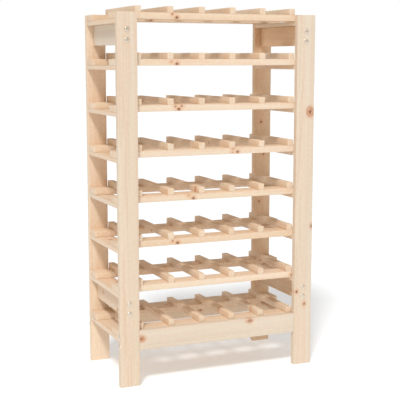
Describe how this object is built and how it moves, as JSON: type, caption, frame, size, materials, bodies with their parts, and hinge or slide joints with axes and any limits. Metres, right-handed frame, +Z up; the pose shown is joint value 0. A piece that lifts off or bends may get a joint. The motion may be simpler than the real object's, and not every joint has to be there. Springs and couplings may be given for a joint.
{
  "type": "wine rack",
  "caption": "Free-standing pine wine rack: flat posts joined by side boards and aprons carry stacked slatted shelves whose dividers hold bottles lying front to back.",
  "frame": {"origin": "floor level under the centre of the rack, where the four posts stand", "axes": "+Z up along the posts, +X to the right seen from the front, -Y towards the front"},
  "size_m": [0.6194, 0.3044, 1.075],
  "materials": {
    "pine_frame": "pale, matt, bare-looking planed pine with visible grain and knots",
    "pine_shelf": "pale, matt, bare-looking planed pine with visible grain and knots",
    "pine_bearer": "pale, matt, bare-looking planed pine",
    "bolt_steel": "bright silvery plating; the metal itself is a guess"
  },
  "bodies": {
    "root": {"post_front_left": "pine_frame", "post_front_right": "pine_frame", "post_back_left": "pine_frame", "post_back_right": "pine_frame", "side_board_top_left": "pine_frame", "side_board_top_right": "pine_frame", "side_board_bottom_left": "pine_frame", "side_board_bottom_right": "pine_frame", "apron_front": "pine_frame", "apron_back": "pine_frame", "bearer_1_left": "pine_bearer", "bearer_1_right": "pine_bearer", "bearer_2_left": "pine_bearer", "bearer_2_right": "pine_bearer", "bearer_3_left": "pine_bearer", "bearer_3_right": "pine_bearer", "bearer_4_left": "pine_bearer", "bearer_4_right": "pine_bearer", "bearer_5_left": "pine_bearer", "bearer_5_right": "pine_bearer", "bearer_6_left": "pine_bearer", "bearer_6_right": "pine_bearer", "bearer_7_left": "pine_bearer", "bearer_7_right": "pine_bearer", "bearer_8_left": "pine_bearer", "bearer_8_right": "pine_bearer", "shelf_1": "pine_shelf", "shelf_2": "pine_shelf", "shelf_3": "pine_shelf", "shelf_4": "pine_shelf", "shelf_5": "pine_shelf", "shelf_6": "pine_shelf", "shelf_7": "pine_shelf", "shelf_8": "pine_shelf", "bolt_top_front_left_lower": "bolt_steel", "bolt_top_front_left_upper": "bolt_steel", "bolt_top_front_right_lower": "bolt_steel", "bolt_top_front_right_upper": "bolt_steel", "bolt_top_back_left_lower": "bolt_steel", "bolt_top_back_left_upper": "bolt_steel", "bolt_top_back_right_lower": "bolt_steel", "bolt_top_back_right_upper": "bolt_steel", "bolt_bottom_front_left_lower": "bolt_steel", "bolt_bottom_front_left_upper": "bolt_steel", "bolt_bottom_front_right_lower": "bolt_steel", "bolt_bottom_front_right_upper": "bolt_steel", "bolt_bottom_back_left_lower": "bolt_steel", "bolt_bottom_back_left_upper": "bolt_steel", "bolt_bottom_back_right_lower": "bolt_steel", "bolt_bottom_back_right_upper": "bolt_steel", "bolt_apron_front_left_lower": "bolt_steel", "bolt_apron_front_left_upper": "bolt_steel", "bolt_apron_front_right_lower": "bolt_steel", "bolt_apron_front_right_upper": "bolt_steel", "bolt_apron_back_left_lower": "bolt_steel", "bolt_apron_back_left_upper": "bolt_steel", "bolt_apron_back_right_lower": "bolt_steel", "bolt_apron_back_right_upper": "bolt_steel"}
  },
  "joints": []
}
